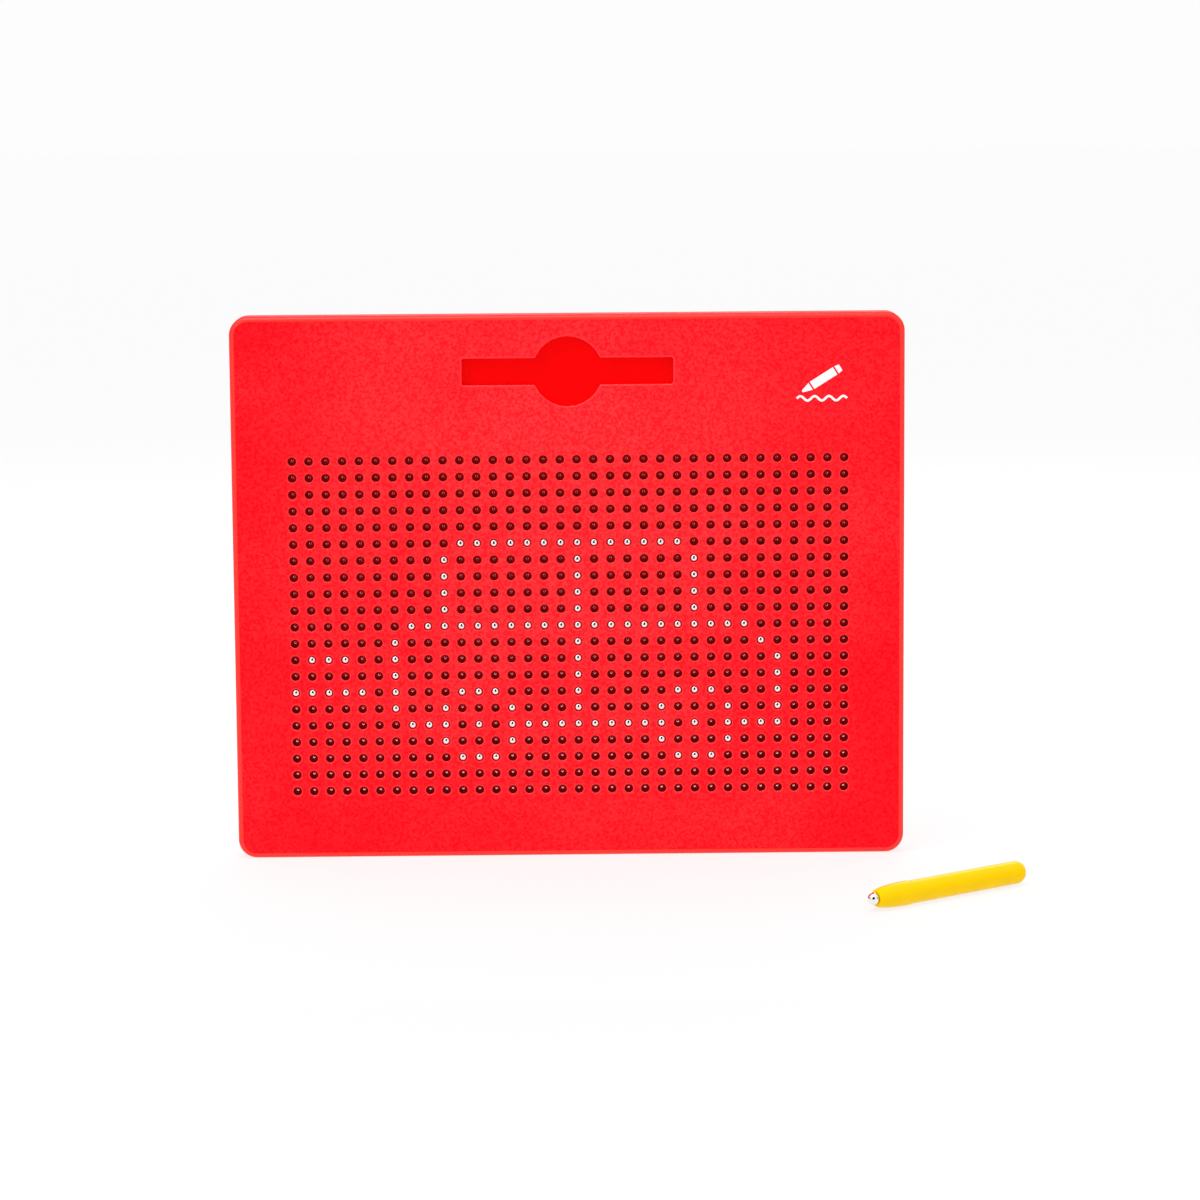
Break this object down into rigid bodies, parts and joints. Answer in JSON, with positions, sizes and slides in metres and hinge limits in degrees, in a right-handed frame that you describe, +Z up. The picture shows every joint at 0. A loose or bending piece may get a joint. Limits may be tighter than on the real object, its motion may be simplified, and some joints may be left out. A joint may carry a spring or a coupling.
{
  "type": "magnetic bead drawing pad",
  "caption": "Upright drawing pad with a grid of steel beads that a magnet-tipped stylus draws up through holes, and a moulded tray for the stylus.",
  "frame": {"origin": "middle of the pad's flat bottom edge, which it stands on", "axes": "+Z up, -Y out of the pad's front face, +X to the right as seen from the front"},
  "size_m": [0.3725, 0.1479, 0.262],
  "materials": {
    "casing_red": "satin",
    "tray_red": "satin",
    "film_red": "satin",
    "bead_steel": "polished",
    "screw_steel": "zinc plated",
    "stylus_yellow": "gloss",
    "tip_chrome": "polished",
    "magnet_nickel": "satin",
    "plug_white": "satin"
  },
  "bodies": {
    "pad": {"front_panel": "casing_red", "bead_film": "film_red", "bead_tray": "tray_red", "rear_cover": "casing_red", "case_screws": "screw_steel"},
    "stylus": {"pen_barrel": "stylus_yellow", "pen_nose": "stylus_yellow", "pen_tip_ball": "tip_chrome", "pen_magnet": "magnet_nickel", "pen_magnet_plug": "plug_white"},
    "row_01_lowered": {"row_01_lowered": "bead_steel"},
    "row_02_lowered": {"row_02_lowered": "bead_steel"},
    "row_03_lowered": {"row_03_lowered": "bead_steel"},
    "row_04_lowered": {"row_04_lowered": "bead_steel"},
    "row_05_lowered": {"row_05_lowered": "bead_steel"},
    "row_06_lowered": {"row_06_lowered": "bead_steel"},
    "row_07_lowered": {"row_07_lowered": "bead_steel"},
    "row_08_lowered": {"row_08_lowered": "bead_steel"},
    "row_09_lowered": {"row_09_lowered": "bead_steel"},
    "row_10_lowered": {"row_10_lowered": "bead_steel"},
    "row_11_lowered": {"row_11_lowered": "bead_steel"},
    "row_12_lowered": {"row_12_lowered": "bead_steel"},
    "row_13_lowered": {"row_13_lowered": "bead_steel"},
    "row_14_lowered": {"row_14_lowered": "bead_steel"},
    "row_15_lowered": {"row_15_lowered": "bead_steel"},
    "row_16_lowered": {"row_16_lowered": "bead_steel"},
    "row_17_lowered": {"row_17_lowered": "bead_steel"},
    "row_18_lowered": {"row_18_lowered": "bead_steel"},
    "row_19_lowered": {"row_19_lowered": "bead_steel"},
    "row_20_lowered": {"row_20_lowered": "bead_steel"},
    "row_21_lowered": {"row_21_lowered": "bead_steel"},
    "row_06_raised": {"row_06_raised": "bead_steel"},
    "row_07_raised": {"row_07_raised": "bead_steel"},
    "row_08_raised": {"row_08_raised": "bead_steel"},
    "row_09_raised": {"row_09_raised": "bead_steel"},
    "row_10_raised": {"row_10_raised": "bead_steel"},
    "row_11_raised": {"row_11_raised": "bead_steel"},
    "row_12_raised": {"row_12_raised": "bead_steel"},
    "row_13_raised": {"row_13_raised": "bead_steel"},
    "row_14_raised": {"row_14_raised": "bead_steel"},
    "row_15_raised": {"row_15_raised": "bead_steel"},
    "row_16_raised": {"row_16_raised": "bead_steel"},
    "row_17_raised": {"row_17_raised": "bead_steel"},
    "row_18_raised": {"row_18_raised": "bead_steel"},
    "row_19_raised": {"row_19_raised": "bead_steel"}
  },
  "joints": [
    {"name": "pen_lift", "type": "slide", "parent": "pad", "child": "stylus", "axis": [0, 0, 1], "range_m": [0, 0.08]},
    {"name": "row_01_draw", "type": "slide", "parent": "pad", "child": "row_01_lowered", "axis": [0, -1, 0], "range_m": [0, 0.0039], "deforming": ["bead_film"]},
    {"name": "row_02_draw", "type": "slide", "parent": "pad", "child": "row_02_lowered", "axis": [0, -1, 0], "range_m": [0, 0.0039], "deforming": ["bead_film"]},
    {"name": "row_03_draw", "type": "slide", "parent": "pad", "child": "row_03_lowered", "axis": [0, -1, 0], "range_m": [0, 0.0039], "deforming": ["bead_film"]},
    {"name": "row_04_draw", "type": "slide", "parent": "pad", "child": "row_04_lowered", "axis": [0, -1, 0], "range_m": [0, 0.0039], "deforming": ["bead_film"]},
    {"name": "row_05_draw", "type": "slide", "parent": "pad", "child": "row_05_lowered", "axis": [0, -1, 0], "range_m": [0, 0.0039], "deforming": ["bead_film"]},
    {"name": "row_06_draw", "type": "slide", "parent": "pad", "child": "row_06_lowered", "axis": [0, -1, 0], "range_m": [0, 0.0039], "deforming": ["bead_film"]},
    {"name": "row_07_draw", "type": "slide", "parent": "pad", "child": "row_07_lowered", "axis": [0, -1, 0], "range_m": [0, 0.0039], "deforming": ["bead_film"]},
    {"name": "row_08_draw", "type": "slide", "parent": "pad", "child": "row_08_lowered", "axis": [0, -1, 0], "range_m": [0, 0.0039], "deforming": ["bead_film"]},
    {"name": "row_09_draw", "type": "slide", "parent": "pad", "child": "row_09_lowered", "axis": [0, -1, 0], "range_m": [0, 0.0039], "deforming": ["bead_film"]},
    {"name": "row_10_draw", "type": "slide", "parent": "pad", "child": "row_10_lowered", "axis": [0, -1, 0], "range_m": [0, 0.0039], "deforming": ["bead_film"]},
    {"name": "row_11_draw", "type": "slide", "parent": "pad", "child": "row_11_lowered", "axis": [0, -1, 0], "range_m": [0, 0.0039], "deforming": ["bead_film"]},
    {"name": "row_12_draw", "type": "slide", "parent": "pad", "child": "row_12_lowered", "axis": [0, -1, 0], "range_m": [0, 0.0039], "deforming": ["bead_film"]},
    {"name": "row_13_draw", "type": "slide", "parent": "pad", "child": "row_13_lowered", "axis": [0, -1, 0], "range_m": [0, 0.0039], "deforming": ["bead_film"]},
    {"name": "row_14_draw", "type": "slide", "parent": "pad", "child": "row_14_lowered", "axis": [0, -1, 0], "range_m": [0, 0.0039], "deforming": ["bead_film"]},
    {"name": "row_15_draw", "type": "slide", "parent": "pad", "child": "row_15_lowered", "axis": [0, -1, 0], "range_m": [0, 0.0039], "deforming": ["bead_film"]},
    {"name": "row_16_draw", "type": "slide", "parent": "pad", "child": "row_16_lowered", "axis": [0, -1, 0], "range_m": [0, 0.0039], "deforming": ["bead_film"]},
    {"name": "row_17_draw", "type": "slide", "parent": "pad", "child": "row_17_lowered", "axis": [0, -1, 0], "range_m": [0, 0.0039], "deforming": ["bead_film"]},
    {"name": "row_18_draw", "type": "slide", "parent": "pad", "child": "row_18_lowered", "axis": [0, -1, 0], "range_m": [0, 0.0039], "deforming": ["bead_film"]},
    {"name": "row_19_draw", "type": "slide", "parent": "pad", "child": "row_19_lowered", "axis": [0, -1, 0], "range_m": [0, 0.0039], "deforming": ["bead_film"]},
    {"name": "row_20_draw", "type": "slide", "parent": "pad", "child": "row_20_lowered", "axis": [0, -1, 0], "range_m": [0, 0.0039], "deforming": ["bead_film"]},
    {"name": "row_21_draw", "type": "slide", "parent": "pad", "child": "row_21_lowered", "axis": [0, -1, 0], "range_m": [0, 0.0039], "deforming": ["bead_film"]},
    {"name": "row_06_press", "type": "slide", "parent": "pad", "child": "row_06_raised", "axis": [0, 1, 0], "range_m": [0, 0.0039], "deforming": ["bead_film"]},
    {"name": "row_07_press", "type": "slide", "parent": "pad", "child": "row_07_raised", "axis": [0, 1, 0], "range_m": [0, 0.0039], "deforming": ["bead_film"]},
    {"name": "row_08_press", "type": "slide", "parent": "pad", "child": "row_08_raised", "axis": [0, 1, 0], "range_m": [0, 0.0039], "deforming": ["bead_film"]},
    {"name": "row_09_press", "type": "slide", "parent": "pad", "child": "row_09_raised", "axis": [0, 1, 0], "range_m": [0, 0.0039], "deforming": ["bead_film"]},
    {"name": "row_10_press", "type": "slide", "parent": "pad", "child": "row_10_raised", "axis": [0, 1, 0], "range_m": [0, 0.0039], "deforming": ["bead_film"]},
    {"name": "row_11_press", "type": "slide", "parent": "pad", "child": "row_11_raised", "axis": [0, 1, 0], "range_m": [0, 0.0039], "deforming": ["bead_film"]},
    {"name": "row_12_press", "type": "slide", "parent": "pad", "child": "row_12_raised", "axis": [0, 1, 0], "range_m": [0, 0.0039], "deforming": ["bead_film"]},
    {"name": "row_13_press", "type": "slide", "parent": "pad", "child": "row_13_raised", "axis": [0, 1, 0], "range_m": [0, 0.0039], "deforming": ["bead_film"]},
    {"name": "row_14_press", "type": "slide", "parent": "pad", "child": "row_14_raised", "axis": [0, 1, 0], "range_m": [0, 0.0039], "deforming": ["bead_film"]},
    {"name": "row_15_press", "type": "slide", "parent": "pad", "child": "row_15_raised", "axis": [0, 1, 0], "range_m": [0, 0.0039], "deforming": ["bead_film"]},
    {"name": "row_16_press", "type": "slide", "parent": "pad", "child": "row_16_raised", "axis": [0, 1, 0], "range_m": [0, 0.0039], "deforming": ["bead_film"]},
    {"name": "row_17_press", "type": "slide", "parent": "pad", "child": "row_17_raised", "axis": [0, 1, 0], "range_m": [0, 0.0039], "deforming": ["bead_film"]},
    {"name": "row_18_press", "type": "slide", "parent": "pad", "child": "row_18_raised", "axis": [0, 1, 0], "range_m": [0, 0.0039], "deforming": ["bead_film"]},
    {"name": "row_19_press", "type": "slide", "parent": "pad", "child": "row_19_raised", "axis": [0, 1, 0], "range_m": [0, 0.0039], "deforming": ["bead_film"]}
  ]
}
